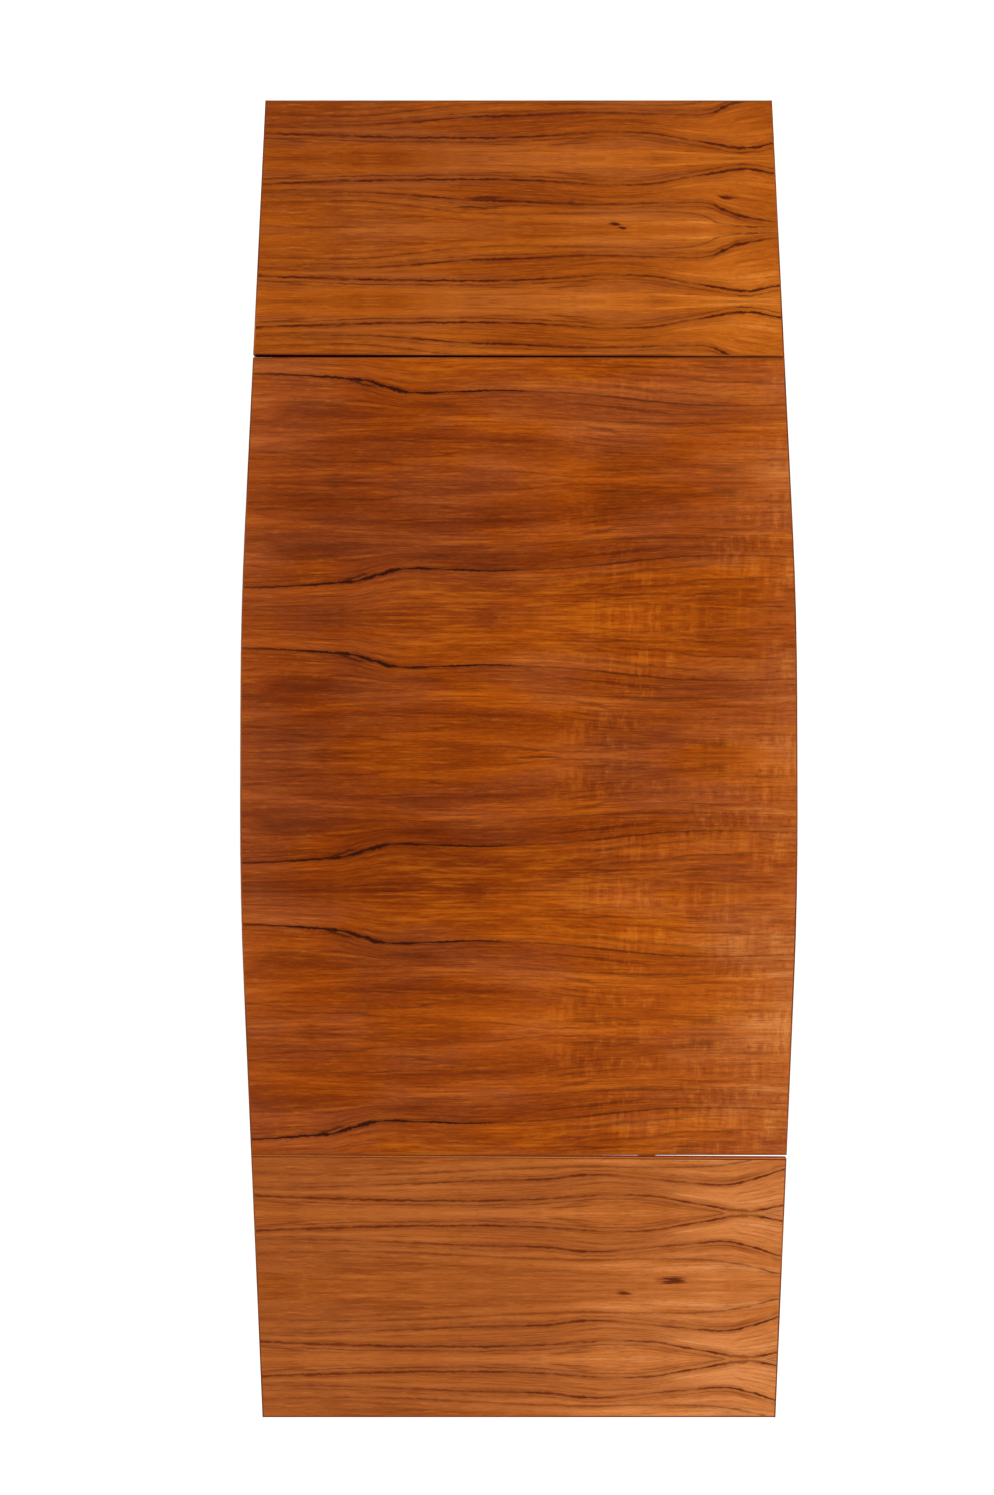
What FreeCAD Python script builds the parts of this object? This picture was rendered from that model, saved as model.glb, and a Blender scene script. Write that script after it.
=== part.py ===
import FreeCAD, Part
import math
import os
import re

import Sketcher

# Boat-shaped dining table with a leaf at each end, in millimetres.
# X runs along the table, Y across it, Z up. The origin is on the floor under the middle.
# End A is at +X and end B at -X. Left is +Y and right is -Y.
# Each leaf is carried on two bearers that slide through notches in the end apron and in a
# cross rail, so the leaf draws straight out along X.
# What is alike at both ends is written for end A and turned half round for end B.

SIZES = {
    # the top seen from above
    "table_height": 730,
    "main_length": 1337,
    "leaf_reach": 435,
    "half_width": 467,
    "flat_half": 94,
    "bow_end": 376,
    "side_taper": 2.62,
    # the open joint between a leaf and the main top, at its left and right ends
    "gap_a_left": 4.8,
    "gap_a_right": 1.2,
    "gap_b_left": 0.8,
    "gap_b_right": 5.9,
    # panels: a core, a face and a backing veneer, and a solid edging
    "core_thick": 19,
    "veneer_thick": 1,
    "edging": 2.5,
    "arris": 0.8,
    "main_sheet": 231,
    "main_sheet_shift": -1.4,
    "leaf_sheet": 121,
    # legs
    "leg_end_inset": 108.5,
    "leg_side_inset": 115,
    "leg_top_radius": 29,
    "leg_foot_radius": 16,
    "leg_swell": 3,
    "leg_flat": 2,
    "glide_height": 6,
    "glide_radius": 11,
    "glide_round": 2,
    "nail_radius": 1.5,
    "nail_length": 15,
    # aprons, cross rails and corner blocks
    "apron_height": 78,
    "apron_thick": 20,
    "tenon_length": 20,
    "tenon_thick": 10,
    "tenon_height": 46,
    "tenon_drop": 18,
    "rail_from_leg": 320,
    "rail_height": 66,
    "rail_housing": 8,
    "block_near": 36,
    "block_far": 100,
    "block_height": 44,
    "block_drop": 20,
    "block_screw_along": 66,
    "block_wall": 14,
    # leaf bearers, battens and stop pegs
    "bearer_from_leg": 136,
    "bearer_width": 27,
    "bearer_height": 38,
    "bearer_past_rail": 35,
    "bearer_set_back": 60,
    "bearer_tip": 16,
    "bearer_bevel": 130,
    "bearer_nose": 8,
    "slide_fit": 0.5,
    "ease_past_joint": 12,
    "batten_width": 34,
    "batten_height": 22,
    "batten_set_back": 110,
    "peg_radius": 4,
    "peg_drop": 12,
    "peg_depth": 20,
    "peg_gap": 0.3,
    # buttons that hold the top down
    "slot_drop": 10,
    "slot_height": 6,
    "slot_depth": 8,
    "slot_play": 4,
    "button_length": 34,
    "button_width": 26,
    "button_height": 20,
    "button_from_leg": 170,
    # wood screws
    "screw_radius": 2,
    "screw_head_radius": 4,
    "screw_head_top": 3,
    "screw_head_height": 2.5,
    "screw_bite": 13,
    "apron_bite": 12,
    "head_room": 0.5,
    "counterbore": 20,
    "bearer_screw_inset": 60,
    "bearer_screw_spacing": 110,
    "batten_screw_spacing": 130,
}

SHEET = "Sizes"
HALF_TURN = 180
QUARTER_TURN = 90
ENDS = {"a": 0, "b": HALF_TURN}
CORNERS = {"a_left": (0, 1, 1), "b_left": (QUARTER_TURN, -1, 1),
           "b_right": (HALF_TURN, -1, -1), "a_right": (-QUARTER_TURN, 1, -1)}
TOUCH = 0.01

doc = FreeCAD.newDocument("extending_table")
sheet = doc.addObject("Spreadsheet::Sheet", SHEET)
for row, (alias, size) in enumerate(SIZES.items(), start=1):
    sheet.set(f"A{row}", alias)
    sheet.set(f"B{row}", str(size))
    sheet.setAlias(f"B{row}", alias)
doc.recompute()

nodes = []


# ------------------------------------------------------------------ expressions

def bound(text):
    """Point each size named in an expression at its cell of the sheet."""
    def cell(match):
        word = match.group()
        return f"{SHEET}.{word}" if word in SIZES else word
    return re.sub(r"[a-z]\w*", cell, str(text))


def value(text):
    """The number that an expression has now."""
    return float(sheet.evalExpression(bound(text)))


def minus(text):
    return f"-({text})"


TOP_THICK = "(core_thick + 2 * veneer_thick)"
UNDER = f"(table_height - {TOP_THICK})"
FACE = "(table_height - veneer_thick)"
CORE_BOTTOM = f"({UNDER} + veneer_thick)"
SEAM_X = "(main_length / 2)"
MAIN_INNER_X = f"({SEAM_X} - edging)"
OUTER_X = f"({SEAM_X} + leaf_reach)"
LEAF_MIDDLE = f"({SEAM_X} + leaf_reach / 2)"
BOW_RADIUS = "((bow_end - flat_half) / sin(side_taper))"
BOW_DROP = f"({BOW_RADIUS} * (1 - cos(side_taper)))"
APRON_BOTTOM = f"({UNDER} - apron_height)"
TENON_TOP = f"({UNDER} - tenon_drop)"
LEG_X = "(main_length / 2 - leg_end_inset)"
LEG_Y = "(half_width - leg_side_inset)"
LEG_FACE = "(leg_top_radius - leg_flat)"
HALF_APRON = "(apron_thick / 2)"
SIDE_INNER_Y = f"({LEG_Y} - {HALF_APRON})"
END_INNER_X = f"({LEG_X} - {HALF_APRON})"
RAIL_X = f"({LEG_X} - rail_from_leg)"
BEARER_Y = f"({LEG_Y} - bearer_from_leg)"
BEARER_INNER_X = f"({RAIL_X} - bearer_past_rail)"
BUTTON_X = f"({LEG_X} - button_from_leg)"
BEARER_BOTTOM = f"({UNDER} - bearer_height)"
BEARER_OUTER_X = f"({OUTER_X} - bearer_set_back)"
BATTEN_X = f"({OUTER_X} - batten_set_back)"
PEG_X = f"({LEG_X} + {HALF_APRON} + peg_gap + peg_radius)"
BLOCK_SCREW_Z = f"({UNDER} - block_drop - block_height / 2)"
BLOCK_SCREW_SEAT = f"({HALF_APRON} + block_wall)"


def side_y(x_text, inset="0"):
    """Half-width of the top on its straight tapering stretch, x_text from the middle."""
    return f"(half_width - {BOW_DROP} - ({x_text} - bow_end) * tan(side_taper) - {inset})"


# ------------------------------------------------------------------ sketch helpers

def new_body(name, turn=0, base=("0", "0"), is_node=True):
    """A body turned about Z and moved to base."""
    body = doc.addObject("PartDesign::Body", name)
    body.Label = name
    body.Placement = FreeCAD.Placement(FreeCAD.Vector(), FreeCAD.Rotation(turn, 0, 0))
    for axis, text in zip("xy", base):
        if text != "0":
            body.setExpression(f"Placement.Base.{axis}", bound(text))
    if is_node:
        nodes.append(body)
    return body


def new_sketch(body, role, offset):
    """An empty sketch on one of the body's own planes, moved along its normal."""
    plane = next(item for item in body.Origin.OriginFeatures if item.Role == role)
    sketch = body.newObject("Sketcher::SketchObject", f"{body.Name}_sketch")
    sketch.AttachmentSupport = [(plane, "")]
    sketch.MapMode = "FlatFace"
    sketch.setExpression("AttachmentOffset.Base.z", bound(offset))
    return sketch


def add_rule(sketch, text, *rule):
    """Add a constraint and bind its size to an expression."""
    index = sketch.addConstraint(Sketcher.Constraint(*rule, value(text)))
    sketch.setExpression(f"Constraints[{index}]", bound(text))


def place_point(sketch, geometry, position, x_text, y_text):
    add_rule(sketch, x_text, "DistanceX", -1, 1, geometry, position)
    add_rule(sketch, y_text, "DistanceY", -1, 1, geometry, position)


def add_arc(sketch, start, end, radius):
    """An arc from start to end, turning left about its centre."""
    chord = end - start
    inward = FreeCAD.Vector(-chord.y, chord.x, 0).normalize()
    centre = (start + end) / 2 + inward * math.sqrt(radius ** 2 - (chord.Length / 2) ** 2)
    circle = Part.Circle(centre, FreeCAD.Vector(0, 0, 1), radius)
    first_angle = math.atan2(start.y - centre.y, start.x - centre.x)
    last_angle = math.atan2(end.y - centre.y, end.x - centre.x)
    return sketch.addGeometry(Part.ArcOfCircle(circle, first_angle, last_angle), False)


def draw_outline(sketch, corners):
    """A closed outline through corners. A corner is (x, y), or (x, y, radius, way) when an
    arc arrives there: way is 1 for an arc that turns left and -1 for one that turns right."""
    points = [FreeCAD.Vector(value(corner[0]), value(corner[1]), 0) for corner in corners]
    edges = []
    for index, start in enumerate(points):
        after = (index + 1) % len(points)
        end = points[after]
        arrival = corners[after]
        if len(arrival) == 2:
            edges.append((sketch.addGeometry(Part.LineSegment(start, end), False), 1, 2))
        elif arrival[3] > 0:
            edges.append((add_arc(sketch, start, end, value(arrival[2])), 1, 2))
        else:
            edges.append((add_arc(sketch, end, start, value(arrival[2])), 2, 1))
    for index, (edge, first, last) in enumerate(edges):
        after = (index + 1) % len(edges)
        sketch.addConstraint(Sketcher.Constraint("Coincident", edge, last, edges[after][0], edges[after][1]))
        place_point(sketch, edge, first, corners[index][0], corners[index][1])
        if len(corners[after]) > 2:
            add_rule(sketch, corners[after][2], "Radius", edge)


def draw_box(sketch, low_x, high_x, low_y, high_y):
    draw_outline(sketch, [(low_x, low_y), (high_x, low_y), (high_x, high_y), (low_x, high_y)])


def draw_circle(sketch, x_text, y_text, radius):
    centre = FreeCAD.Vector(value(x_text), value(y_text), 0)
    circle = sketch.addGeometry(Part.Circle(centre, FreeCAD.Vector(0, 0, 1), value(radius)), False)
    place_point(sketch, circle, 3, x_text, y_text)
    add_rule(sketch, radius, "Radius", circle)


def pad(body, sketch, length, both_ways=False):
    feature = body.newObject("PartDesign::Pad", f"{body.Name}_pad")
    feature.Profile = sketch
    if both_ways:
        feature.SideType = "Symmetric"
    feature.setExpression("Length", bound(length))


def cut(body, sketch, depth, along_normal=False):
    """A pocket, against the sketch's normal unless told otherwise."""
    feature = body.newObject("PartDesign::Pocket", f"{body.Name}_cut")
    feature.Profile = sketch
    feature.Reversed = along_normal
    feature.setExpression("Length", bound(depth))


def pad_boxes(body, boxes, bottom, height):
    sketch = new_sketch(body, "XY_Plane", bottom)
    for box in boxes:
        draw_box(sketch, *box)
    pad(body, sketch, height)


def cut_boxes(body, boxes, top, depth):
    """Square-sided recesses cut down from the height top."""
    sketch = new_sketch(body, "XY_Plane", top)
    for box in boxes:
        draw_box(sketch, *box)
    cut(body, sketch, depth)


def drill(body, role, offset, centres, radius, depth, along_normal=True):
    """Round holes from a plane that lies offset along the normal of one of the body's planes."""
    sketch = new_sketch(body, role, offset)
    for x_text, y_text in centres:
        draw_circle(sketch, x_text, y_text, radius)
    cut(body, sketch, depth, along_normal)


def board(name, corners, bottom, thick, turn=0, is_node=True):
    """A flat level piece of one outline."""
    body = new_body(name, turn, is_node=is_node)
    sketch = new_sketch(body, "XY_Plane", bottom)
    draw_outline(sketch, corners)
    pad(body, sketch, thick)
    return body


def turned_piece(name, corners, turn=0, base=("0", "0")):
    """A round piece from a half-section, whose x is the radius and y the height."""
    body = new_body(name, turn, base)
    sketch = new_sketch(body, "XZ_Plane", "0")
    draw_outline(sketch, corners)
    feature = body.newObject("PartDesign::Revolution", f"{name}_turning")
    feature.Profile = sketch
    feature.ReferenceAxis = (sketch, ["V_Axis"])
    return body


def group(name, members):
    """Separate solids that share one node."""
    compound = doc.addObject("Part::Compound", name)
    compound.Label = name
    compound.Links = members
    nodes.append(compound)


def mirrored_pair(x_text, y_text):
    return [(x_text, y_text), (x_text, minus(y_text))]


# ------------------------------------------------------------------ screws

def screw(name, place, direction, length, turn=0, base=("0", "0")):
    """A wood screw. Its head seats at place, and its shank runs along direction. Both are
    turned about Z with the piece that it belongs to, and then moved to base."""
    shank = doc.addObject("Part::Cylinder", f"{name}_shank")
    shank.setExpression("Radius", bound("screw_radius"))
    shank.setExpression("Height", bound(length))
    head = doc.addObject("Part::Cone", f"{name}_head")
    head.setExpression("Radius1", bound("screw_head_top"))
    head.setExpression("Radius2", bound("screw_head_radius"))
    head.setExpression("Height", bound("screw_head_height"))
    head.setExpression("Placement.Base.z", bound("-screw_head_height"))
    piece = doc.addObject("Part::Fuse", name)
    piece.Base = shank
    piece.Tool = head
    round_z = FreeCAD.Rotation(turn, 0, 0)
    along = FreeCAD.Rotation(FreeCAD.Vector(0, 0, 1), FreeCAD.Vector(*direction))
    piece.Placement = FreeCAD.Placement(FreeCAD.Vector(), round_z * along)
    cosine, sine = round(math.cos(math.radians(turn))), round(math.sin(math.radians(turn)))
    x_text, y_text, z_text = place
    piece.setExpression("Placement.Base.x", bound(f"{base[0]} + {cosine} * {x_text} - {sine} * {y_text}"))
    piece.setExpression("Placement.Base.y", bound(f"{base[1]} + {sine} * {x_text} + {cosine} * {y_text}"))
    piece.setExpression("Placement.Base.z", bound(z_text))
    return piece


# ------------------------------------------------------------------ main top

def boat_outline(inset):
    """The main top's outline, moved in by inset on every side."""
    end = f"({SEAM_X} - {inset})"
    flat = f"(half_width - {inset})"
    bow = f"(half_width - {BOW_DROP} - {inset})"
    half = [
        (minus(end), minus(side_y(end, inset))),
        ("-bow_end", minus(bow)),
        ("-flat_half", minus(flat), BOW_RADIUS, 1),
        ("flat_half", minus(flat)),
        ("bow_end", minus(bow), BOW_RADIUS, 1),
        (end, minus(side_y(end, inset))),
    ]
    return half + [(minus(corner[0]), minus(corner[1]), *corner[2:]) for corner in half]


def bowed_side(inset):
    """The corners along the right side of the main top, from end B to end A."""
    flat = f"-(half_width - {inset})"
    bow = f"-(half_width - {BOW_DROP} - {inset})"
    end = minus(side_y(SEAM_X, inset))
    return [(minus(SEAM_X), end), ("-bow_end", bow), ("-flat_half", flat),
            ("flat_half", flat), ("bow_end", bow), (SEAM_X, end)]


def side_edging_outline():
    """The strip along the right side of the main top."""
    outer = bowed_side("0")
    inner = bowed_side("edging")
    for arrival in (2, 4):
        outer[arrival] += (BOW_RADIUS, 1)
    inner.reverse()
    for arrival in (2, 4):
        inner[arrival] += (BOW_RADIUS, -1)
    return outer + inner


def half_width_at(position):
    """Half-width inside the edging of the main top at x = position."""
    size = abs(value(position))
    away = f"abs({position})"
    if size <= value("flat_half"):
        return "(half_width - edging)"
    if size <= value("bow_end"):
        return f"(half_width - edging - {BOW_RADIUS} + sqrt({BOW_RADIUS}^2 - ({away} - flat_half)^2))"
    return side_y(away, "edging")


def sheet_outline(low, high):
    """One sheet of the main top's face veneer, between x = low and x = high."""
    bends = [bend for bend in ("-bow_end", "-flat_half", "flat_half", "bow_end")
             if value(low) < value(bend) < value(high)]
    stops = [low, *bends, high]
    right = []
    for before, stop in zip([None, *stops], stops):
        arc = ()
        if before is not None:
            middle = abs(value(before) + value(stop)) / 2
            arc = (BOW_RADIUS, 1) if value("flat_half") < middle < value("bow_end") else ()
        right.append((stop, minus(half_width_at(stop)), *arc))
    arcs = [corner[2:] for corner in right[1:]]
    left = [(stop, half_width_at(stop), *arc) for stop, arc in zip(reversed(stops), [(), *reversed(arcs)])]
    return right + left


def round_top_edges(body, outer_face):
    """Ease the long arrises where a strip's outer face meets the top."""
    doc.recompute()
    base = body.Tip
    level = value("table_height") - TOUCH
    shortest = value("core_thick")
    picked = []
    for index, edge in enumerate(base.Shape.Edges, start=1):
        if edge.BoundBox.ZMin > level and edge.Length > shortest and outer_face(edge.CenterOfMass):
            picked.append(f"Edge{index}")
    feature = body.newObject("PartDesign::Fillet", f"{body.Name}_arris")
    feature.Base = (base, picked)
    feature.setExpression("Radius", bound("arris"))


def on_outer_side(point):
    """Whether a point lies on the outer face of the edging along a side."""
    return abs(point.y) > value(half_width_at(point.x)) + value("edging") / 2


def build_main_top():
    holes = [(place[0], place[1]) for place in button_places()]
    core = board("main_core", boat_outline("edging"), CORE_BOTTOM, "core_thick")
    drill(core, "XY_Plane", CORE_BOTTOM, holes, "screw_radius", "screw_bite - veneer_thick")
    backing = board("main_backing_veneer", boat_outline("edging"), UNDER, "veneer_thick")
    drill(backing, "XY_Plane", UNDER, holes, "screw_radius", "veneer_thick")

    joints = [f"(main_sheet_shift + {step} * main_sheet)" for step in (2, 1, 0, -1, -2)]
    limits = [MAIN_INNER_X, *joints, minus(MAIN_INNER_X)]
    for number, (high, low) in enumerate(zip(limits, limits[1:]), start=1):
        board(f"main_veneer_sheet_{number}", sheet_outline(low, high), FACE, "veneer_thick")

    for side, turn in (("right", 0), ("left", HALF_TURN)):
        strip = board(f"main_edging_{side}", side_edging_outline(), UNDER, TOP_THICK, turn)
        round_top_edges(strip, on_outer_side)
    inner = side_y(MAIN_INNER_X, "edging")
    outer = side_y(SEAM_X, "edging")
    outline = [(MAIN_INNER_X, minus(inner)), (SEAM_X, minus(outer)), (SEAM_X, outer), (MAIN_INNER_X, inner)]
    for end, turn in ENDS.items():
        strip = board(f"main_edging_end_{end}", outline, UNDER, TOP_THICK, turn)
        round_top_edges(strip, lambda point: abs(point.x) > value(f"{SEAM_X} - edging / 2"))


# ------------------------------------------------------------------ under-frame

def leg_place(x_sign, y_sign):
    return f"{x_sign} * {LEG_X}", f"{y_sign} * {LEG_Y}"


def build_leg(corner, turn, x_sign, y_sign):
    """A turned leg with a flat and a mortise for each apron, and its nailed glide."""
    base = leg_place(x_sign, y_sign)
    rise = f"({APRON_BOTTOM} - glide_height)"
    swell = f"(({rise}^2 + (leg_top_radius - leg_foot_radius)^2) / (8 * leg_swell) + leg_swell / 2)"
    leg = turned_piece(f"leg_{corner}", [
        ("0", "glide_height"),
        ("leg_foot_radius", "glide_height"),
        ("leg_top_radius", APRON_BOTTOM, swell, 1),
        ("leg_top_radius", UNDER),
        ("0", UNDER),
    ], turn, base)
    beyond = "-(leg_top_radius + leg_flat)"
    face = minus(LEG_FACE)
    radius = ("-leg_top_radius", "leg_top_radius")
    cut_boxes(leg, [(beyond, face, *radius)], UNDER, "apron_height")
    cut_boxes(leg, [(*radius, beyond, face)], UNDER, "apron_height")
    deep = f"(tenon_length - {LEG_FACE})"
    wall = ("-tenon_thick / 2", "tenon_thick / 2")
    cut_boxes(leg, [(beyond, deep, *wall), (*wall, beyond, deep)], TENON_TOP, "tenon_height")
    drill(leg, "XY_Plane", "glide_height", [("0", "0")], "nail_radius", "nail_length")
    turned_piece(f"glide_{corner}", [
        ("0", "0"),
        ("glide_radius - glide_round", "0"),
        ("glide_radius", "glide_round", "glide_round", 1),
        ("glide_radius", "glide_height"),
        ("nail_radius", "glide_height"),
        ("nail_radius", "glide_height + nail_length"),
        ("0", "glide_height + nail_length"),
    ], turn, base)


def build_corner_block(corner, turn, x_sign, y_sign):
    """A brace glued and screwed across the inner corner, behind the leg."""
    body = new_body(f"corner_block_{corner}", turn, leg_place(x_sign, y_sign))
    near, far, face = "-block_near", "-block_far", minus(HALF_APRON)
    sketch = new_sketch(body, "XY_Plane", f"{UNDER} - block_drop - block_height")
    draw_outline(sketch, [(face, near), (near, face), (far, face), (face, far)])
    pad(body, sketch, "block_height")
    centre = [("-block_screw_along", BLOCK_SCREW_Z)]
    for role, seat, to_apron in (("YZ_Plane", minus(BLOCK_SCREW_SEAT), True),
                                 ("XZ_Plane", BLOCK_SCREW_SEAT, False)):
        drill(body, role, seat, centre, "screw_radius", "block_wall", to_apron)
        drill(body, role, seat, centre, "screw_head_radius + head_room", "block_far", not to_apron)


def notch_boxes(low_x, high_x):
    half = "(bearer_width / 2 + slide_fit)"
    return [(low_x, high_x, f"{BEARER_Y} - {half}", f"{BEARER_Y} + {half}"),
            (low_x, high_x, f"-{BEARER_Y} - {half}", f"-{BEARER_Y} + {half}")]


def build_side_apron(side, turn):
    """Apron along the left side: stub tenons, housings for the cross rails, button slots."""
    end = f"({LEG_X} - {LEG_FACE})"
    tip = f"({end} + tenon_length)"
    outer = f"({LEG_Y} + {HALF_APRON})"
    body = new_body(f"side_apron_{side}", turn)
    pad_boxes(body, [(minus(end), end, SIDE_INNER_Y, outer)], APRON_BOTTOM, "apron_height")
    wall = (f"{LEG_Y} - tenon_thick / 2", f"{LEG_Y} + tenon_thick / 2")
    pad_boxes(body, [(minus(tip), minus(end), *wall), (end, tip, *wall)],
              f"{TENON_TOP} - tenon_height", "tenon_height")
    housing = f"{SIDE_INNER_Y} + rail_housing"
    cut_boxes(body, [(f"{sign} * {RAIL_X} - {HALF_APRON}", f"{sign} * {RAIL_X} + {HALF_APRON}",
                      SIDE_INNER_Y, housing) for sign in (1, -1)], UNDER, "rail_height")
    play = "(button_width / 2 + slot_play)"
    cut_boxes(body, [(f"{step} * {BUTTON_X} - {play}", f"{step} * {BUTTON_X} + {play}",
                      SIDE_INNER_Y, f"{SIDE_INNER_Y} + slot_depth") for step in (-1, 0, 1)],
              f"{UNDER} - slot_drop", "slot_height")
    drill(body, "XZ_Plane", minus(SIDE_INNER_Y),
          [(f"{sign} * ({LEG_X} - block_screw_along)", BLOCK_SCREW_Z) for sign in (1, -1)],
          "screw_radius", "apron_bite", along_normal=False)


def build_end_apron(end, turn):
    """Apron across the end: stub tenons, two bearer notches and a button slot."""
    inner, outer = END_INNER_X, f"({LEG_X} + {HALF_APRON})"
    shoulder = f"({LEG_Y} - {LEG_FACE})"
    tip = f"({shoulder} + tenon_length)"
    body = new_body(f"end_apron_{end}", turn)
    pad_boxes(body, [(inner, outer, minus(shoulder), shoulder)], APRON_BOTTOM, "apron_height")
    wall = (f"{LEG_X} - tenon_thick / 2", f"{LEG_X} + tenon_thick / 2")
    pad_boxes(body, [(*wall, minus(tip), minus(shoulder)), (*wall, shoulder, tip)],
              f"{TENON_TOP} - tenon_height", "tenon_height")
    cut_boxes(body, notch_boxes(inner, outer), UNDER, "bearer_height + slide_fit")
    play = "(button_width / 2 + slot_play)"
    cut_boxes(body, [(inner, f"{inner} + slot_depth", minus(play), play)],
              f"{UNDER} - slot_drop", "slot_height")
    drill(body, "YZ_Plane", inner,
          [(f"{sign} * ({LEG_Y} - block_screw_along)", BLOCK_SCREW_Z) for sign in (1, -1)],
          "screw_radius", "apron_bite")


def build_cross_rail(end, turn):
    """Inner rail that holds the bearers' inner ends, housed in the side aprons."""
    body = new_body(f"cross_rail_{end}", turn)
    span = f"({SIDE_INNER_Y} + rail_housing)"
    low, high = f"{RAIL_X} - {HALF_APRON}", f"{RAIL_X} + {HALF_APRON}"
    pad_boxes(body, [(low, high, minus(span), span)], f"{UNDER} - rail_height", "rail_height")
    cut_boxes(body, notch_boxes(low, high), UNDER, "bearer_height + slide_fit")


def button_places():
    """Screw centre and the direction of the tongue of each button."""
    back = "(button_length / 2)"
    places = []
    for sign in (1, -1):
        for step in (-1, 0, 1):
            places.append((f"({step} * {BUTTON_X})", f"({sign} * ({SIDE_INNER_Y} - {back}))", 0, sign))
        places.append((f"({sign} * ({END_INNER_X} - {back}))", "0", sign, 0))
    return places


def build_buttons():
    """Buttons under the top, each with a tongue in an apron's slot, and their screws."""
    body = new_body("top_buttons")
    blocks, tongues, screws = [], [], []
    for number, (x_text, y_text, x_way, y_way) in enumerate(button_places(), start=1):
        half_x = "(button_length / 2)" if x_way else "(button_width / 2)"
        half_y = "(button_length / 2)" if y_way else "(button_width / 2)"
        blocks.append((f"{x_text} - {half_x}", f"{x_text} + {half_x}",
                       f"{y_text} - {half_y}", f"{y_text} + {half_y}"))
        tongue = list(blocks[-1])
        way = x_way or y_way
        near, far = (0, 1) if x_way else (2, 3)
        centre, half = (x_text, half_x) if x_way else (y_text, half_y)
        tongue[near] = f"{centre} + {half}" if way > 0 else f"{centre} - {half} - slot_depth"
        tongue[far] = f"{centre} + {half} + slot_depth" if way > 0 else f"{centre} - {half}"
        tongues.append(tuple(tongue))
        screws.append(screw(f"button_screw_{number}", (x_text, y_text, f"({UNDER} - button_height)"),
                            (0, 0, 1), "button_height + screw_bite"))
    pad_boxes(body, blocks, f"{UNDER} - button_height", "button_height")
    pad_boxes(body, tongues, f"{UNDER} - slot_drop - slot_height", "slot_height")
    drill(body, "XY_Plane", f"{UNDER} - button_height", [(place[0], place[1]) for place in button_places()],
          "screw_radius", "button_height")
    group("button_screws", screws)


def build_block_screws():
    """Two screws in each corner block, one into each apron."""
    to_end = ((minus(BLOCK_SCREW_SEAT), "(-block_screw_along)", BLOCK_SCREW_Z), (1, 0, 0))
    to_side = (("(-block_screw_along)", minus(BLOCK_SCREW_SEAT), BLOCK_SCREW_Z), (0, 1, 0))
    screws = []
    for corner, (turn, x_sign, y_sign) in CORNERS.items():
        base = leg_place(x_sign, y_sign)
        for number, (place, direction) in enumerate((to_end, to_side), start=1):
            screws.append(screw(f"block_screw_{corner}_{number}", place, direction,
                                "block_wall + apron_bite", turn, base))
    group("corner_block_screws", screws)


# ------------------------------------------------------------------ end leaves

def leaf_bearer_screws():
    """Screw centres along the two bearers of a leaf."""
    centres = []
    for step in (0, 1, 2):
        x_text = f"({SEAM_X} + bearer_screw_inset + {step} * bearer_screw_spacing)"
        centres += mirrored_pair(x_text, BEARER_Y)
    return centres


def leaf_batten_screws():
    return [(BATTEN_X, f"({step} * batten_screw_spacing)") for step in (-1, 0, 1)]


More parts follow.
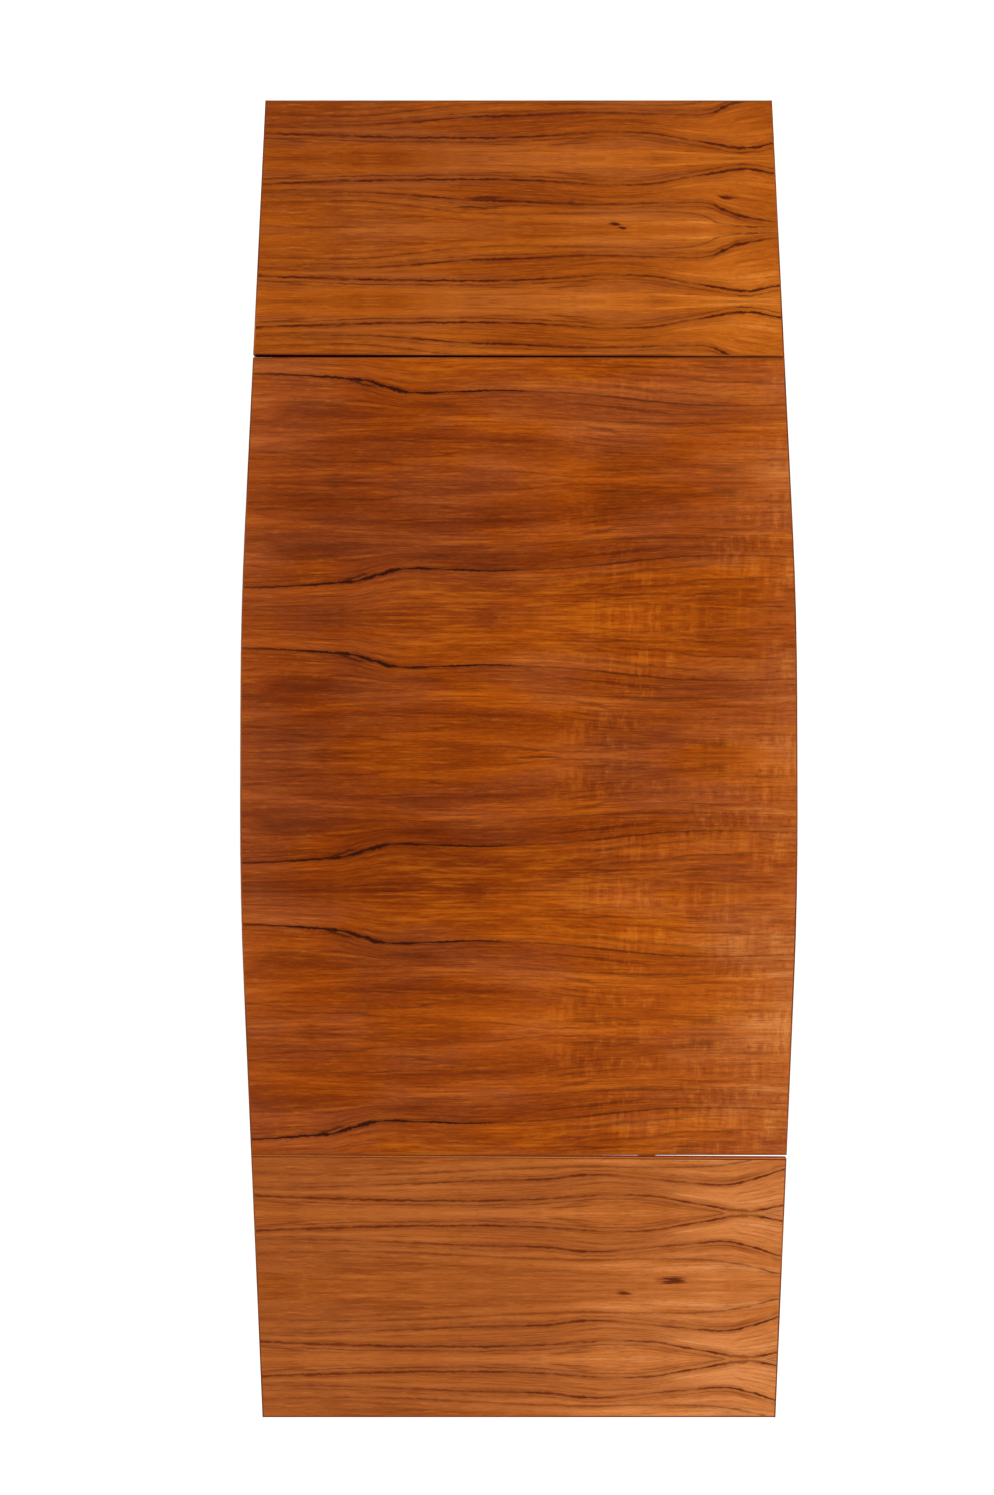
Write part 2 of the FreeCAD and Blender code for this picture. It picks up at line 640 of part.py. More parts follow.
def build_leaf_panel(end, turn, near_left, near_right):
    """The leaf's board. near_left and near_right are where its inner edge starts, at its
    two sides, so that the joint with the main top can be wider at one side."""
    def corners_at(x_left, x_right, inset):
        return (x_left, side_y(x_left, inset)), (x_right, minus(side_y(x_right, inset)))

    far = f"({OUTER_X} - edging)"
    near = (f"({near_left} + edging)", f"({near_right} + edging)")
    near_plus, near_minus = corners_at(*near, "edging")
    far_plus, far_minus = corners_at(far, far, "edging")
    whole = [near_minus, far_minus, far_plus, near_plus]
    screws = leaf_bearer_screws() + leaf_batten_screws()
    core = board(f"leaf_{end}_core", whole, CORE_BOTTOM, "core_thick", turn)
    drill(core, "XY_Plane", CORE_BOTTOM, screws, "screw_radius", "screw_bite - veneer_thick")
    backing = board(f"leaf_{end}_backing_veneer", whole, UNDER, "veneer_thick", turn)
    drill(backing, "XY_Plane", UNDER, screws, "screw_radius", "veneer_thick")

    joints = [corners_at(x_text, x_text, "edging")
              for x_text in (f"({LEAF_MIDDLE} - leaf_sheet)", LEAF_MIDDLE, f"({LEAF_MIDDLE} + leaf_sheet)")]
    limits = [(near_plus, near_minus), *joints, (far_plus, far_minus)]
    sheets = [board(f"leaf_{end}_sheet_{number}", [low[1], high[1], high[0], low[0]], FACE, "veneer_thick",
                    turn, is_node=False)
              for number, (low, high) in enumerate(zip(limits, limits[1:]), start=1)]
    group(f"leaf_{end}_veneer_sheets", sheets)

    left, right = ("left", "right") if turn == 0 else ("right", "left")
    for side, near_x, sign in ((left, near_left, ""), (right, near_right, "-")):
        corners = [(near_x, f"{sign}{side_y(near_x)}"), (near_x, f"{sign}{side_y(near_x, 'edging')}"),
                   (OUTER_X, f"{sign}{side_y(OUTER_X, 'edging')}"), (OUTER_X, f"{sign}{side_y(OUTER_X)}")]
        strip = board(f"leaf_{end}_edging_{side}", corners, UNDER, TOP_THICK, turn)
        round_top_edges(strip, on_outer_side)
    inner_plus, inner_minus = corners_at(near_left, near_right, "edging")
    strip = board(f"leaf_{end}_edging_inner", [inner_minus, near_minus, near_plus, inner_plus],
                  UNDER, TOP_THICK, turn)
    middle = value(f"({near_left} + {near_right}) / 2 + edging / 2")
    round_top_edges(strip, lambda point: abs(point.x) < middle)
    outer_plus, outer_minus = corners_at(OUTER_X, OUTER_X, "edging")
    strip = board(f"leaf_{end}_edging_outer", [far_minus, outer_minus, outer_plus, far_plus],
                  UNDER, TOP_THICK, turn)
    round_top_edges(strip, lambda point: abs(point.x) > value(f"{OUTER_X} - edging / 2"))


def build_bearer(name, turn, sign):
    """A bearer: full height under the leaf, eased by the sliding fit under the main top,
    with a nose at its inner end and a long bevel at its outer end."""
    body = new_body(name, turn)
    sketch = new_sketch(body, "XZ_Plane", f"{-sign} * {BEARER_Y}")
    eased = f"({UNDER} - slide_fit)"
    draw_outline(sketch, [
        (f"{BEARER_INNER_X} + bearer_nose", BEARER_BOTTOM),
        (f"{BEARER_OUTER_X} - bearer_bevel", BEARER_BOTTOM),
        (BEARER_OUTER_X, f"{UNDER} - bearer_tip"),
        (BEARER_OUTER_X, UNDER),
        (f"{SEAM_X} + ease_past_joint", UNDER),
        (f"{SEAM_X} + ease_past_joint", eased),
        (BEARER_INNER_X, eased),
        (BEARER_INNER_X, f"{BEARER_BOTTOM} + bearer_nose"),
    ])
    pad(body, sketch, "bearer_width", both_ways=True)
    holes = [centre for centre in leaf_bearer_screws() if centre[1].startswith("-") == (sign < 0)]
    seat = f"({BEARER_BOTTOM} + counterbore)"
    drill(body, "XY_Plane", BEARER_BOTTOM, holes, "screw_head_radius + head_room", "counterbore")
    drill(body, "XY_Plane", seat, holes, "screw_radius", "bearer_height - counterbore")
    drill(body, "XY_Plane", BEARER_BOTTOM, [(PEG_X, f"{sign} * {BEARER_Y}")], "peg_radius", "peg_depth")


def build_leaf_carrier(end, turn):
    """Bearers, stop pegs, batten and screws under a leaf."""
    left, right = ("left", "right") if turn == 0 else ("right", "left")
    build_bearer(f"leaf_{end}_bearer_{left}", turn, 1)
    build_bearer(f"leaf_{end}_bearer_{right}", turn, -1)

    pegs = new_body(f"leaf_{end}_stop_pegs", turn)
    sketch = new_sketch(pegs, "XY_Plane", f"{BEARER_BOTTOM} - peg_drop")
    for x_text, y_text in mirrored_pair(PEG_X, BEARER_Y):
        draw_circle(sketch, x_text, y_text, "peg_radius")
    pad(pegs, sketch, "peg_drop + peg_depth")

    batten = new_body(f"leaf_{end}_batten", turn)
    half_span = f"({BEARER_Y} - bearer_width / 2)"
    pad_boxes(batten, [(f"{BATTEN_X} - batten_width / 2", f"{BATTEN_X} + batten_width / 2",
                        minus(half_span), half_span)], f"{UNDER} - batten_height", "batten_height")
    drill(batten, "XY_Plane", f"{UNDER} - batten_height", leaf_batten_screws(),
          "screw_radius", "batten_height")

    seat = f"({BEARER_BOTTOM} + counterbore)"
    screws = [screw(f"leaf_{end}_bearer_screw_{number}", (*centre, seat), (0, 0, 1),
                    "bearer_height - counterbore + screw_bite", turn)
              for number, centre in enumerate(leaf_bearer_screws(), start=1)]
    screws += [screw(f"leaf_{end}_batten_screw_{number}", (*centre, f"({UNDER} - batten_height)"),
                     (0, 0, 1), "batten_height + screw_bite", turn)
               for number, centre in enumerate(leaf_batten_screws(), start=1)]
    group(f"leaf_{end}_screws", screws)


# ------------------------------------------------------------------ the whole table

build_main_top()
for corner, placing in CORNERS.items():
    build_leg(corner, *placing)
    build_corner_block(corner, *placing)
build_side_apron("left", 0)
build_side_apron("right", HALF_TURN)
for end, turn in ENDS.items():
    build_end_apron(end, turn)
    build_cross_rail(end, turn)
build_buttons()
build_block_screws()
build_leaf_panel("a", ENDS["a"], f"({SEAM_X} + gap_a_left)", f"({SEAM_X} + gap_a_right)")
build_leaf_panel("b", ENDS["b"], f"({SEAM_X} + gap_b_right)", f"({SEAM_X} + gap_b_left)")
for end, turn in ENDS.items():
    build_leaf_carrier(end, turn)

doc.recompute()
for item in doc.Objects:
    if "Invalid" in item.State or "Error" in item.State:
        raise RuntimeError(f"{item.Name} failed: {item.State}")

os.makedirs("parts", exist_ok=True)
for node in nodes:
    shape = node.Shape
    if shape.isNull() or not shape.isValid():
        raise RuntimeError(f"{node.Label} has no valid shape")
    shape.exportStep(f"parts/{node.Label}.step")
    print(f"{node.Label}: {len(shape.Solids)} solid(s), {shape.Volume:.0f} mm3")
print(len(nodes), "nodes")
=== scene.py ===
import math

import bpy
from mathutils import Matrix, Vector

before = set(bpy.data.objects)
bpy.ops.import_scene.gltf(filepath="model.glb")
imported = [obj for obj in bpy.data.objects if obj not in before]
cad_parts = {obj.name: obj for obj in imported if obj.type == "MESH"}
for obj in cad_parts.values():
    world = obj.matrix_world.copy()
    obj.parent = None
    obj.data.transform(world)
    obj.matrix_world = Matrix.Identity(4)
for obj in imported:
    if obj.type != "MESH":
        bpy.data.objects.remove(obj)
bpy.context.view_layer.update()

# The looks of an extending table with a leaf at each end, in metres, in the frame's own axes:
# X runs along the table, Y across it with left at +Y, Z up, and the floor is Z = 0.

TABLE_HEIGHT = 0.73

ACROSS = 0.47            # half-width that the grain curves are drawn over
MAIN_SHEET = 0.231       # width of one sheet of face veneer on the main top
MAIN_SHIFT = -0.0014     # where the middle joint between those sheets lies
MAIN_DRIFT = -0.045      # how far the main top's figure moves sideways in a metre
MAIN_STEPS = 137.5       # the veins are drawn in steps across one sheet
LEAF_SHEET = 0.121
LEAF_MIDDLE = {"a": 0.8836, "b": -0.886}     # the same place on each leaf
LEAF_STEPS = 71.0
FULL_BLACK = 0.75        # the darkness from which a vein is drawn in full ink
VENEER_BUMP, WOOD_BUMP, METAL_BUMP = 0.10, 0.15, 0.10
BUMP_DISTANCE = 0.0006
LOW_SHINE = 0.05         # oiled wood: Specular IOR Level of the veneer and its edging

FLOOR_HALF = 40.0
FLOOR_DROP = 0.0005      # keeps the floor's face clear of the glides
FLOOR_GREY = 0.55
FLOOR_GLOW = 0.66        # tops the floor up to white near the table; further off it is all glow
GLOW_NEAR, GLOW_FAR = 2.0, 8.0
WORLD_FILL = 0.36        # the world's strength as a light; seen directly it is white
WHITE = (1, 1, 1, 1)

LIGHT_SIZE = 3.0
LIGHTS = {               # place and watts of the four soft boxes round the table
    "light_end_a": ((4.2, 0.0, 4.2), 95),
    "light_end_b": ((-4.2, 0.0, 4.2), 100),
    "light_left": ((0.0, 4.0, 4.2), 80),
    "light_right": ((0.0, -4.0, 4.2), 110),
}

CAMERA_DISTANCE = 3.1
CAMERA_LEAN = math.radians(1.0)
CAMERA_AIM = (0.0121, 0.0366, TABLE_HEIGHT)
FRAME_HEIGHT = 2.505     # metres from the top to the bottom of the frame, at the table top
SENSOR = 36
CLIP_END = 200


# ------------------------------------------------------------------ node helpers

def srgb(red, green, blue):
    """A screen colour as the shader's linear colour."""
    def linear(part):
        part /= 255
        return part / 12.92 if part <= 0.04045 else ((part + 0.055) / 1.055) ** 2.4
    return (linear(red), linear(green), linear(blue), 1.0)


class Web:
    """The nodes of one material, or of the world. Most methods return an output socket."""

    def __init__(self, owner):
        owner.use_nodes = True
        self.owner = owner
        self.tree = owner.node_tree
        self.tree.nodes.clear()

    def node(self, kind, inputs=(), **settings):
        made = self.tree.nodes.new(kind)
        for key, setting in settings.items():
            setattr(made, key, setting)
        for key, given in dict(inputs).items():
            socket = made.inputs[key]
            if isinstance(given, bpy.types.NodeSocket):
                self.tree.links.new(given, socket)
            else:
                socket.default_value = given
        return made

    def math(self, operation, *values, clamp=False):
        return self.node("ShaderNodeMath", enumerate(values), operation=operation,
                         use_clamp=clamp).outputs[0]

    def chain(self, operation, *values):
        total = values[0]
        for value in values[1:]:
            total = self.math(operation, total, value)
        return total

    def add(self, *values):
        return self.chain("ADD", *values)

    def times(self, *values):
        return self.chain("MULTIPLY", *values)

    def strongest(self, *values):
        return self.chain("MAXIMUM", *values)

    def minus(self, first, second):
        return self.math("SUBTRACT", first, second)

    def distance(self, first, second):
        """The length of a vector with these two parts."""
        return self.math("SQRT", self.add(self.times(first, first), self.times(second, second)))

    def ramp(self, value, low, high, to_low=0.0, to_high=1.0, smooth=True):
        """value taken from the range low..high to to_low..to_high, and held beyond it."""
        return self.node("ShaderNodeMapRange",
                         {0: value, 1: low, 2: high, 3: to_low, 4: to_high},
                         interpolation_type="SMOOTHSTEP" if smooth else "LINEAR").outputs[0]

    def curve(self, value, points):
        """A smooth curve through points, all within 0..1."""
        made = self.node("ShaderNodeFloatCurve", {1: value})
        line = made.mapping.curves[0]
        line.points[0].location = points[0]
        line.points[-1].location = points[-1]
        for point in points[1:-1]:
            line.points.new(*point)
        made.mapping.update()
        return made.outputs[0]

    def noise(self, x, y, z=0.0, detail=3.0, roughness=0.55):
        """Smooth noise about 0.5. Each coordinate is already scaled."""
        place = self.node("ShaderNodeCombineXYZ", {0: x, 1: y, 2: z}).outputs[0]
        return self.node("ShaderNodeTexNoise",
                         {"Vector": place, "Scale": 1.0, "Detail": detail,
                          "Roughness": roughness}).outputs["Fac"]

    def mix(self, factor, first, second):
        return self.node("ShaderNodeMix", {0: factor, 6: first, 7: second},
                         data_type="RGBA").outputs[2]

    def colours(self, value, stops):
        """A colour ramp through (position, colour) stops."""
        made = self.node("ShaderNodeValToRGB", {0: value})
        ends = made.color_ramp.elements
        ends[0].position, ends[0].color = stops[0]
        ends[1].position, ends[1].color = stops[-1]
        for position, colour in stops[1:-1]:
            ends.new(position).color = colour
        return made.outputs[0]

    def finish(self, colour, roughness, height, bump, **fixed):
        """The shader itself, as the finished material. Fixed values are set on its own sockets."""
        shader = self.node("ShaderNodeBsdfPrincipled",
                           {"Base Color": colour, "Roughness": roughness})
        for key, value in fixed.items():
            shader.inputs[key.replace("_", " ")].default_value = value
        bumped = self.node("ShaderNodeBump",
                           {"Height": height, "Strength": bump, "Distance": BUMP_DISTANCE})
        self.tree.links.new(bumped.outputs[0], shader.inputs["Normal"])
        self.node("ShaderNodeOutputMaterial", {"Surface": shader.outputs[0]})
        return self.owner


def material_web(name):
    """The nodes of a new material, with x, y and z in the frame's axes, as the part is at rest."""
    web = Web(bpy.data.materials.new(name))
    place = web.node("ShaderNodeTexCoord").outputs["Object"]
    web.x, web.y, web.z = web.node("ShaderNodeSeparateXYZ", {0: place}).outputs
    return web


def swing(web, value, size):
    """A noise value as a swing about zero."""
    return web.times(web.minus(value, 0.5), size)


def dress(names, material):
    """Give CAD nodes their material."""
    for name in names:
        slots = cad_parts[name].data.materials
        if len(slots) == 0:
            slots.append(material)
        for number in range(len(slots)):
            slots[number] = material


# ------------------------------------------------------------------ veneer: how it is drawn

def grain_frame(web, middle, sheet, shift, drift):
    """Where a point lies on its sheet: t runs 0 to 1 along the grain, from left to right, and v
    runs 0 to 1 across the sheet. v turns back at each joint, as the sheets are book-matched."""
    fold = web.math("PINGPONG", web.minus(web.x, middle), sheet)
    v = web.add(web.times(fold, 1 / sheet), -shift)
    t = web.times(web.minus(ACROSS, web.y), 0.5 / ACROSS)
    return web.add(t, web.times(web.x, drift)), v


def vein(web, t, v, line, steps, wobble, offset=0.0, thin=1.5, wide=3.6):
    """A dark line along the grain, drawn as (t, place, darkness) points, the place in steps, with
    a soft shade on one side. A fully black line grows wider and more ragged with its darkness.
    It returns the ink and the line's place across the sheet."""
    step = 1 / steps
    place = web.curve(t, [(along, mark / steps) for along, mark, _ in line])
    dark = web.curve(t, [(along, darkness) for along, _, darkness in line])
    swell = web.ramp(dark, FULL_BLACK, 1.0, smooth=False)
    ragged = web.times(wobble, web.add(web.times(swell, 1.5), 1.0))
    aside = web.minus(web.add(v, ragged, -offset / steps), place)
    blotchy = web.noise(web.times(t, 42), web.times(v, 6), steps, 2.0, 0.65)
    half = web.times(web.add(web.times(swell, wide - thin), thin),
                     web.ramp(blotchy, 0.3, 0.7, 0.45, 1.55), step)
    core = web.ramp(web.math("ABSOLUTE", aside), web.times(half, 0.25), half, 1.0, 0.0)
    shade = web.times(web.ramp(aside, -step, 6 * step, 0.34, 0.0),
                      web.ramp(aside, -5 * step, -step))
    drawn = web.ramp(dark, 0.0, FULL_BLACK, smooth=False)
    return web.times(web.strongest(core, shade), drawn), place


def hairlines(web, t, flow, count, seed, width):
    """Thin long lines along the grain, unevenly spaced and unevenly dark."""
    sway = web.noise(web.times(t, 2.4), web.times(flow, 6), seed, 3.0)
    phase = web.add(web.times(flow, count), web.times(sway, 5.0))
    line = web.ramp(web.math("PINGPONG", phase, 0.5), 0.0, width, 1.0, 0.0)
    dark = web.noise(web.times(t, 5), web.times(flow, count * 0.8), seed + 3.1, 3.0, 0.6)
    return web.times(line, web.ramp(dark, 0.42, 0.64))


def between(web, v, *marks):
    """v, evened out so that each mark lies where the second number of its pair says. The grain
    is drawn along lines of this value, so that it follows the veins."""
    least_gap = 0.02
    total, low, low_even = 0.0, 0.0, 0.0
    for mark, even in [*marks, (1.0, 1.0)]:
        gap = web.strongest(web.minus(mark, low), least_gap)
        share = web.math("DIVIDE", web.minus(v, low), gap, clamp=True)
        total = web.add(web.times(share, even - low_even), total)
        low, low_even = mark, even
    return web.add(total, web.math("MINIMUM", v, 0.0), web.strongest(web.minus(v, 1.0), 0.0))


def figured(web, t, flow, table):
    """The layers of a figure by name, and their sum as a swing about zero."""
    layers = {name: web.noise(web.times(t, along), web.times(flow, across), seed, 2.0, roughness)
              for name, (along, across, seed, roughness, _) in table.items()}
    return layers, web.add(*(swing(web, layers[name], row[-1]) for name, row in table.items()))


def flecked(web, colour, t, flow, table, *gate):
    """Short marks along the grain, over the colour. A row of the table is one kind of mark."""
    for along, across, seed, low, high, strength, tint in table:
        marks = web.noise(web.times(t, along), web.times(flow, across), seed, 2.0, 0.6)
        colour = web.mix(web.times(web.ramp(marks, low, high), *gate, strength), colour, tint)
    return colour


def spot(web, ragged, across, along, half_across, half_along, slant, strength):
    """A small dark mark at a place on the top: strength inside, 0 outside."""
    one = web.minus(web.add(web.y, web.times(web.x, slant)), across + slant * along)
    two = web.minus(web.x, along)
    away = web.distance(web.times(one, 1 / half_across), web.times(two, 1 / half_along))
    return web.ramp(web.add(away, ragged), 0.45, 1.25, strength, 0.0)


def spotted(web, dark, placings, streaks):
    for placing in placings:
        dark = web.strongest(dark, spot(web, swing(web, streaks, 2.4), *placing))
    return dark


def oiled(web, colour, dark, pores, depth, tint, layers):
    """The end of a veneer: its pores, a low uneven gloss and a slight relief."""
    streaks, fine = layers["streaks"], layers["fine"]
    ticks = web.times(web.ramp(pores, 0.60, 0.74), depth)
    colour = web.mix(ticks, colour, tint)
    uneven = web.add(web.times(streaks, 0.5), web.times(fine, 0.5))
    roughness = web.ramp(uneven, 0.3, 0.7, 0.40, 0.50)
    height = web.add(web.times(fine, 0.5), web.times(ticks, -1.2), web.times(dark, -0.5))
    return web.finish(colour, roughness, height, VENEER_BUMP, Specular_IOR_Level=LOW_SHINE)


# ------------------------------------------------------------------ veneer: the main top

# Veins, as (t, place in steps, darkness).
MAIN_VEIN = [(0.00, 107, 0.50), (0.05, 106.5, 0.62), (0.10, 105, 0.72), (0.15, 103, 0.86),
             (0.185, 101.5, 0.86), (0.200, 100.5, 0.66), (0.212, 98.5, 0.82), (0.226, 95.5, 0.98),
             (0.242, 93.5, 0.96), (0.262, 89.8, 0.86), (0.29, 88.2, 0.76), (0.36, 89.0, 0.74),
             (0.44, 90.6, 0.80), (0.475, 90.0, 0.62), (0.50, 89.4, 0.40), (0.56, 88, 0.40),
             (0.64, 84, 0.47), (0.72, 79, 0.48), (0.80, 75.5, 0.46), (0.88, 75, 0.40),
             (1.00, 77, 0.30)]
MAIN_TWIN = [(0.00, 104, 0.0), (0.11, 104.5, 0.0), (0.15, 104, 0.45), (0.185, 98.5, 0.60),
             (0.21, 94.5, 0.55), (0.235, 92.5, 0.0), (1.00, 90, 0.0)]
MAIN_UPPER = [(0.00, 62, 0.0), (0.40, 64, 0.02), (0.55, 62, 0.20), (0.66, 58.5, 0.38),
              (0.78, 57, 0.36), (0.90, 58, 0.22), (1.00, 60, 0.1)]
MAIN_LOWER = [(0.00, 118, 0.10), (0.22, 112, 0.05), (0.42, 103, 0.08), (0.60, 97, 0.22),
              (0.75, 88, 0.28), (0.88, 83, 0.24), (1.00, 84, 0.14)]

# Layers of noise, coarse to fine: scale along and across the grain, seed, roughness, swing.
MAIN_FIGURE = {"broad": (2.2, 6, 2.9, 0.55, 0.88), "bands": (4.0, 15, 4.1, 0.6, 0.42),
               "lines": (11, 36, 6.6, 0.6, 0.35), "streaks": (26, 80, 7.9, 0.6, 0.28),
               "fine": (90, 150, 2.3, 0.6, 0.34)}

# How light the veneer is along the grain, and from the joint at v = 0 across the sheet.
MAIN_ALONG = [(0.0, 0.44), (0.12, 0.33), (0.30, 0.33), (0.45, 0.38), (0.70, 0.42), (1.0, 0.60)]
MAIN_ACROSS = [(0.0, 0.05), (0.15, 0.03), (0.45, 0.01), (0.70, 0.03), (1.0, 0.0)]

MAIN_CLEAR = [(0.00, srgb(86, 26, 0)), (0.20, srgb(114, 42, 0)), (0.40, srgb(141, 58, 0)),
              (0.60, srgb(164, 74, 3)), (0.80, srgb(187, 94, 12)), (1.00, srgb(213, 122, 34))]
# The dull palette is partly painted sheen, the pale dull look of the finish's reflection haze, and
# partly the veneer's own tone.
MAIN_DULL_SHEEN = [(0.00, srgb(84, 31, 9)), (0.25, srgb(120, 51, 15)), (0.50, srgb(149, 69, 26)),
             (0.75, srgb(176, 93, 39)), (1.00, srgb(206, 128, 66))]
MAIN_GOLD, MAIN_RIB, MAIN_INK = srgb(198, 106, 14), srgb(206, 116, 36), srgb(46, 11, 0)
MAIN_PORE = srgb(78, 28, 4)

# Kinds of fleck: scale along and across, seed, where it starts and is full, strength, colour.
MAIN_LIGHT_FLECKS = [(34, 90, 3.9, 0.57, 0.66, 0.16, srgb(206, 118, 34)),
                     (12, 56, 9.7, 0.57, 0.66, 0.25, srgb(200, 106, 18))]
MAIN_DARK_FLECKS = [(30, 90, 6.1, 0.57, 0.66, 0.17, srgb(84, 28, 2)),
                    (10, 60, 4.7, 0.57, 0.66, 0.26, srgb(92, 34, 2))]

# Marks on the two middle sheets: across, along, half-sizes across and along, slant, strength.
MAIN_SPOTS = [(-0.022, 0.0080, 0.022, 0.0022, 0.0, 0.6), (-0.030, -0.0042, 0.038, 0.0021, 0.0, 0.6)]
SPOTTED_SHEETS = (3, 4)

# How much lighter and how much hazier than the rest each sheet is; the haze is partly painted
# sheen for the finish's reflection haze, partly the veneer's own duller tone.
SHEET_LOOKS = {1: (0.07, 0.0), 2: (-0.04, -0.15), 3: (-0.03, -0.1), 4: (-0.02, 0.1),
               5: (0.12, 0.2), 6: (0.02, 0.4)}


def main_veneer(number, lighter, dull_and_sheen):
    """Face veneer of the main top: red-brown, one dark stepped vein on each sheet."""
    web = material_web(f"main_veneer_{number}")
    t, v = grain_frame(web, MAIN_SHIFT, MAIN_SHEET, 0.0, MAIN_DRIFT)
    seed = float(number)
    ragged = web.add(swing(web, web.noise(web.times(t, 60), web.times(v, 3), seed), 0.014),
                     swing(web, web.noise(web.times(t, 210), web.times(v, 6), seed), 0.008))
    strong, place = vein(web, t, v, MAIN_VEIN, MAIN_STEPS, ragged)
    upper, upper_place = vein(web, t, v, MAIN_UPPER, MAIN_STEPS, ragged)
    lower, _ = vein(web, t, v, MAIN_LOWER, MAIN_STEPS, ragged)
    twin, _ = vein(web, t, v, MAIN_TWIN, MAIN_STEPS, web.times(ragged, 2.0))

    flow = between(web, v, (upper_place, 0.45), (place, 0.68))
    layers, figure = figured(web, t, flow, MAIN_FIGURE)
    patches = web.noise(web.times(web.x, 3.1), web.times(web.y, 2.3), 8.8, 2.0)
    cloudy = web.noise(web.times(web.x, 9), web.times(web.y, 3.2), 5.2, 3.0)
    pores = web.noise(web.times(t, 90), web.times(flow, 150), 3.3, 1.0)

    # Ribs cross the grain, in broken patches of the right half.
    ribs = web.noise(web.times(t, 100), web.times(flow, 7), 5.5, 2.0, 0.6)
    broken = web.noise(web.times(t, 7), web.times(flow, 10), 7.7, 2.0)
    ribbed = web.times(web.ramp(t, 0.40, 0.80), web.ramp(patches, 0.36, 0.50),
                       web.ramp(broken, 0.40, 0.60))
    shade = web.add(
        web.times(figure, web.ramp(t, 0.0, 0.6, 0.74, 0.97)), swing(web, patches, 0.55),
        web.times(swing(web, ribs, 0.6), ribbed),
        web.curve(t, MAIN_ALONG), web.curve(v, MAIN_ACROSS),
        web.times(web.ramp(v, 0.30, 0.02), web.ramp(t, 0.40, 0.62), 0.10), lighter)

    # A golden glow lies beside the vein. Haze pales and dulls the colour, most of all at both ends
    # of t:
    # it is partly painted sheen for the finish's reflection haze, partly the veneer's own duller
    # tone.
    glow = web.times(web.ramp(v, 0.62, 0.84), web.ramp(t, 0.14, 0.34), web.ramp(t, 1.0, 0.62))
    golden = web.times(glow, web.ramp(layers["lines"], 0.44, 0.64))
    ends_dull_sheen = web.ramp(web.math("ABSOLUTE", web.minus(t, 0.5)), 0.34, 0.50, 0.0, 0.6)
    dull_sheen_mask = web.add(web.ramp(cloudy, 0.40, 0.64), web.times(dull_and_sheen, web.ramp(t, 0.2, 1.0)),
                   web.times(glow, -0.6), ends_dull_sheen)
    colour = web.mix(web.math("MULTIPLY", dull_sheen_mask, 0.85, clamp=True),
                     web.colours(shade, MAIN_CLEAR), web.colours(shade, MAIN_DULL_SHEEN))
    colour = web.mix(web.times(golden, 0.30), colour, MAIN_GOLD)
    lit = web.ramp(shade, 0.12, 0.42)
    colour = flecked(web, colour, t, flow, MAIN_LIGHT_FLECKS, lit)
    colour = web.mix(web.times(ribbed, web.ramp(ribs, 0.50, 0.72), 0.20), colour, MAIN_RIB)
    colour = flecked(web, colour, t, flow, MAIN_DARK_FLECKS)
    wide_hairs = web.times(hairlines(web, t, flow, 17.0, 12.4, 0.18), 0.46)
    close_hairs = web.times(hairlines(web, t, flow, 37.0, 15.8, 0.26), 0.36)
    dark = web.strongest(strong, twin, upper, lower, wide_hairs, close_hairs)
    if number in SPOTTED_SHEETS:
        dark = spotted(web, dark, MAIN_SPOTS, layers["streaks"])
    colour = web.mix(dark, colour, MAIN_INK)
    return oiled(web, colour, dark, pores, 0.26, MAIN_PORE, layers)


# ------------------------------------------------------------------ veneer: the leaves

LEAF_THICK = [(0.00, 45, 0.78), (0.12, 47.2, 0.80), (0.24, 49.3, 0.80), (0.50, 49.6, 0.76),
              (0.62, 45.6, 0.65), (0.65, 44.7, 0.65), (0.73, 45.6, 0.65), (0.79, 50.9, 0.7),
              (0.855, 57, 0.8), (0.90, 60.5, 0.86), (0.96, 56, 0.78), (1.00, 53, 0.74)]
LEAF_A_THIN = [(0.00, 27, 0.25), (0.11, 28, 0.45), (0.21, 28.6, 0.5), (0.31, 23.4, 0.5),
               (0.38, 18.6, 0.45), (0.50, 15.5, 0.40), (0.63, 16.7, 0.35), (0.79, 17.5, 0.40),
               (0.83, 14, 0.5), (0.87, 5.3, 0.6), (0.96, 2.6, 0.6), (1.00, 2, 0.5)]
LEAF_A_MID = [(0.00, 36, 0.35), (0.12, 37.5, 0.55), (0.23, 37.2, 0.6), (0.31, 34.6, 0.68),
              (0.40, 30.3, 0.78), (0.50, 28.3, 0.78), (0.63, 25.4, 0.6), (0.78, 27.2, 0.65),
              (0.83, 27, 0.78), (0.865, 20.5, 0.88), (0.895, 14.3, 0.82), (0.93, 10.5, 0.72),
              (0.96, 7.9, 0.65), (1.00, 7, 0.6)]
LEAF_B_THIN = [(0.00, 22, 0.2), (0.15, 25, 0.4), (0.30, 24, 0.5), (0.45, 20, 0.4),
               (0.60, 17, 0.5), (0.70, 17.5, 0.4), (0.83, 17, 0.5), (0.89, 13, 0.55),
               (0.93, 8, 0.55), (0.967, 3.3, 0.55), (1.00, 2, 0.5)]
LEAF_B_MID = [(0.00, 36, 0.35), (0.12, 37, 0.55), (0.25, 35, 0.6), (0.43, 31, 0.74),
              (0.56, 29, 0.78), (0.60, 26, 0.80), (0.64, 25, 0.72), (0.717, 28.2, 0.62),
              (0.806, 32.9, 0.65), (0.86, 34.9, 0.72), (0.904, 30.9, 0.76), (0.963, 21, 0.74),
              (1.00, 16, 0.7)]

